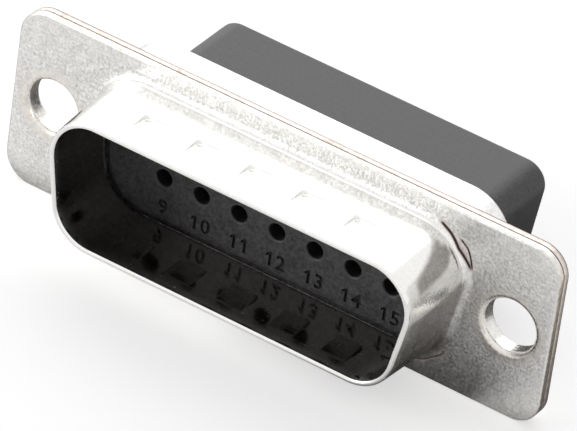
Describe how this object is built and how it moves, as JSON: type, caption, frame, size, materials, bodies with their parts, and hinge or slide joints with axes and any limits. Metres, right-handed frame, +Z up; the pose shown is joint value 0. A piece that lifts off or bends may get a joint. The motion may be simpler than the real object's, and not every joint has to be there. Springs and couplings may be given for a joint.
{
  "type": "d-sub plug connector",
  "caption": "D-shaped cable plug: drawn metal hood on an eyeletted flange, rear shell with a collar, and a split insulator with empty crimp-contact cavities held by inner clips.",
  "frame": {"origin": "centre of the front flange's front face, midway between the mounting holes", "axes": "Seen from the mating side, +X runs right along the contact rows, +Y back towards the cable and +Z up to the wide side of the D"},
  "size_m": [0.0392, 0.0171, 0.0126],
  "materials": {
    "hood_steel": "plated, bright on the hood and satin on the flange",
    "rear_steel": "plated, satin",
    "front_plastic": "fine moulded grain",
    "rear_plastic": "fine moulded grain",
    "clip_bronze": "bare spring strip"
  },
  "bodies": {
    "root": {"front_shell": "hood_steel", "rear_shell": "rear_steel", "front_insulator": "front_plastic", "rear_insulator": "rear_plastic", "retention_clip_1": "clip_bronze", "retention_clip_2": "clip_bronze", "retention_clip_3": "clip_bronze", "retention_clip_4": "clip_bronze", "retention_clip_5": "clip_bronze", "retention_clip_6": "clip_bronze", "retention_clip_7": "clip_bronze", "retention_clip_8": "clip_bronze", "retention_clip_9": "clip_bronze", "retention_clip_10": "clip_bronze", "retention_clip_11": "clip_bronze", "retention_clip_12": "clip_bronze", "retention_clip_13": "clip_bronze", "retention_clip_14": "clip_bronze", "retention_clip_15": "clip_bronze"}
  },
  "joints": []
}
